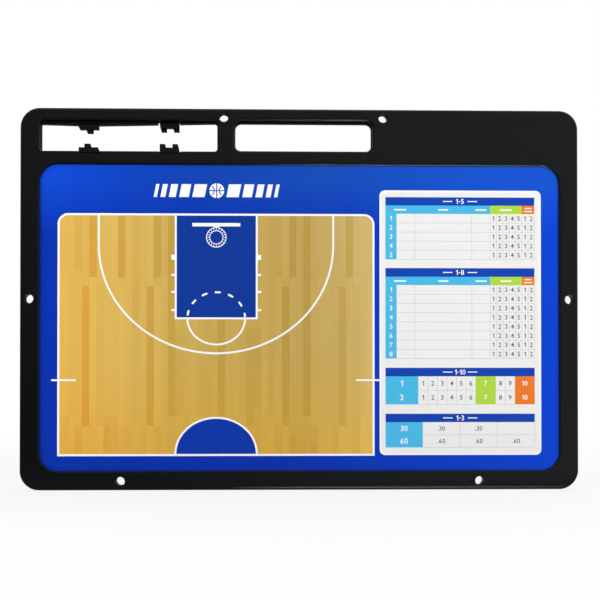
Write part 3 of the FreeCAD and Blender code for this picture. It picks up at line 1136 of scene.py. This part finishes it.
# Dark cards that gloss mirrors: the way to each, and the cosines to it where its shade begins and is full
DARK_CARDS = (
    ((-0.7, -1.0, -0.55), (0.50, 0.82)),
    ((0.0, 1.0, 0.0), (0.75, 0.96)),
)
# Light that is left outside a card's shade and where it is full
CARD_LIGHT_SHARES = (1.0, 0.05)

# Floor: half its side, and how white it shows near the board and from a distance on
FLOOR_HALF = 12.0
FLOOR_COLOUR = (0.92, 0.92, 0.92, 1.0)
FADE_ENDS = (0.25, 1.0)
FADE_SHARES = (0.78, 1.0)

# How strongly gloss mirrors the floor, by the distance before (less than 0) and behind the board
FLOOR_GLOSS_PLACES = (-1.0, -0.6, -0.14, -0.03, 0.03, 0.14, 0.8, 1.2)
FLOOR_GLOSS_SHARES = (0.0, 0.12, 0.12, 0.25, 0.25, 0.35, 0.35, 0.0)

# Shares of it that are added before the board from a left to a right place, and where they fade out
SIDE_ENDS = (-0.16, 0.10)
SIDE_SHARES = (-0.9, 4.5)
BEFORE_ENDS = (-0.14, -0.03)

# Oval lamps, so wide and high, that shine within an angle; rays of the kinds named last miss them
WHITE_LIGHT = (1.0, 1.0, 1.0)
COOL_LIGHT = (0.95, 0.975, 1.0)
WARM_LIGHT = (1.0, 0.97, 0.93)
HALF_TURN = 180.0
LAMP_AIM = (0.0, 0.0, 0.14)
Lamp = collections.namedtuple(
    "Lamp", "name place aim size watts colour angle hidden_from", defaults=(WHITE_LIGHT, HALF_TURN, ()),
)
LAMPS = (
    Lamp(
        name="right_lamp", place=(0.85, -0.85, 0.55), aim=LAMP_AIM, size=(0.5, 0.5),
        watts=7.1, colour=COOL_LIGHT, hidden_from=("glossy",),
    ),
    Lamp(
        name="left_lamp", place=(-0.75, -0.45, 0.35), aim=LAMP_AIM, size=(0.5, 0.5),
        watts=4.0, colour=WARM_LIGHT, hidden_from=("glossy",),
    ),
    Lamp(name="rear_lamp", place=(0.35, 0.9, 1.3), aim=LAMP_AIM, size=(1.2, 1.2), watts=9.0),
    Lamp(
        name="glint_lamp", place=(0.21, -0.035, 0.003), aim=(0.21, -0.006, 0.236), size=(0.46, 0.03),
        watts=0.062, angle=30.0, hidden_from=("diffuse", "camera"),
    ),
    Lamp(
        name="edge_lamp", place=(0.08, -0.0098, 0.0005), aim=(0.08, -0.006, 0.0016), size=(0.26, 0.0009),
        watts=0.0009, angle=50.0, hidden_from=("diffuse", "camera"),
    ),
)

# Camera: low, a little left of the middle, as far off as the depth in the photograph's slots shows
CAMERA_DISTANCE = 1.02
PICTURE_WIDTH = 0.4356
AIM_ACROSS, AIM_UP = -0.0005, 0.1378
SHIFT_UP_SHARE = 0.09
PITCH, YAW = math.radians(0.8), math.radians(1.8)
SENSOR_WIDTH = 36.0


def floor_gloss(shader):
    """Grey that gloss mirrors at each place of the floor."""
    first, last = FLOOR_GLOSS_PLACES[0], FLOOR_GLOSS_PLACES[-1]
    depth = shader.spread(shader.axis("Y"), 0.0, 1.0, (first, last))
    stops = []
    for place, share in zip(FLOOR_GLOSS_PLACES, FLOOR_GLOSS_SHARES):
        stops.append(((place - first) / (last - first), (share, share, share)))
    return shader.ramp(depth, stops)


def floor_sides(shader):
    """How much paler gloss mirrors the floor towards the right, before the board."""
    to_right = shader.spread(shader.axis("X"), *SIDE_SHARES, SIDE_ENDS)
    before = shader.spread(shader.axis("Y"), 1.0, 0.0, BEFORE_ENDS)
    return shader.math("ADD", 1.0, shader.math("MULTIPLY", to_right, before))


def floor_material():
    """Pale matt floor that shows white, apart from the shadow, and grey where gloss mirrors it."""
    shader = Shader("studio_floor")
    shader.set(Base_Color=FLOOR_COLOUR, Roughness=0.9, Specular_IOR_Level=0.0)
    mirrored, seen = shader.rays()
    distance = shader.node("ShaderNodeVectorMath", {0: shader.place}, operation="LENGTH").outputs["Value"]
    faded = shader.math("MULTIPLY", seen, shader.spread(distance, *FADE_SHARES, FADE_ENDS))
    gloss = {"Color": floor_gloss(shader), "Strength": floor_sides(shader)}
    plain_white = {"Color": opaque(PLAIN), "Strength": 1.0}
    surface = shader.surface.outputs["BSDF"]
    for share, light in ((mirrored, gloss), (faded, plain_white)):
        emission = shader.node("ShaderNodeEmission", light).outputs["Emission"]
        surface = shader.node("ShaderNodeMixShader", {0: share, 1: surface, 2: emission}).outputs["Shader"]
    shader.join(surface, shader.tree.nodes["Material Output"].inputs["Surface"])
    return shader.material


def studio_floor():
    """Floor that keeps the shadow."""
    side = FLOOR_HALF
    data = bpy.data.meshes.new("studio_floor")
    corners = [(-side, -side, 0), (side, -side, 0), (side, side, 0), (-side, side, 0)]
    data.from_pydata(corners, [], [(0, 1, 2, 3)])
    floor = bpy.data.objects.new("studio_floor", data)
    bpy.context.scene.collection.objects.link(floor)
    data.materials.append(floor_material())


def studio_world():
    """White surroundings and an even soft light. Gloss mirrors them dimmer, with the dark cards."""
    world = bpy.data.worlds.new("studio")
    bpy.context.scene.world = world
    world.use_nodes = True
    nodes = Nodes(world.node_tree)
    mirrored, seen = nodes.rays()
    direction = nodes.node("ShaderNodeTexCoord").outputs["Generated"]
    gloss_light = MIRRORED_LIGHT
    for way, edges in DARK_CARDS:
        ways = {0: direction, 1: Vector(way).normalized()}
        cosine = nodes.node("ShaderNodeVectorMath", ways, operation="DOT_PRODUCT").outputs["Value"]
        left_over = nodes.spread(cosine, *CARD_LIGHT_SHARES, edges)
        gloss_light = nodes.math("MULTIPLY", left_over, gloss_light)
    soft = nodes.math("MULTIPLY", nodes.math("SUBTRACT", 1.0, mirrored), SOFT_LIGHT)
    strength = nodes.math("ADD", soft, nodes.math("MULTIPLY", mirrored, gloss_light))
    strength = nodes.math("MAXIMUM", strength, seen)
    background = nodes.tree.nodes["Background"]
    nodes.join(opaque(PLAIN), background.inputs["Color"])
    nodes.join(strength, background.inputs["Strength"])


def studio_lamps():
    """Soft lamps round the board, and two thin ones that only glint on its edges."""
    for lamp in LAMPS:
        data = bpy.data.lights.new(lamp.name, "AREA")
        data.shape = "ELLIPSE"
        data.size, data.size_y = lamp.size
        data.spread = math.radians(lamp.angle)
        data.energy = lamp.watts
        data.color = lamp.colour
        holder = bpy.data.objects.new(lamp.name, data)
        bpy.context.scene.collection.objects.link(holder)
        holder.location = lamp.place
        towards = Vector(lamp.aim) - Vector(lamp.place)
        holder.rotation_euler = towards.to_track_quat("-Z", "Y").to_euler()
        for kind in lamp.hidden_from:
            setattr(holder, "visible_" + kind, False)


def camera():
    """Camera whose picture is so wide at the board's front."""
    data = bpy.data.cameras.new("camera")
    data.sensor_width = SENSOR_WIDTH
    data.lens = SENSOR_WIDTH * CAMERA_DISTANCE / PICTURE_WIDTH
    data.shift_y = SHIFT_UP_SHARE
    holder = bpy.data.objects.new("camera", data)
    bpy.context.scene.collection.objects.link(holder)
    middle = Vector((AIM_ACROSS, cad_box[0].y, AIM_UP))
    drop = SHIFT_UP_SHARE * PICTURE_WIDTH + CAMERA_DISTANCE * math.tan(PITCH)
    back = Vector((-math.sin(YAW), -math.cos(YAW), 0.0)) * CAMERA_DISTANCE
    holder.location = middle + back - Vector((0.0, 0.0, drop))
    holder.rotation_euler = (math.radians(90) + PITCH, 0.0, -YAW)
    bpy.context.scene.camera = holder


solid_pieces()
front_floor()
front_court()
title_ornament()
score_card()
rear_court()
studio_floor()
studio_world()
studio_lamps()
camera()
bpy.context.scene.view_settings.view_transform = "Standard"
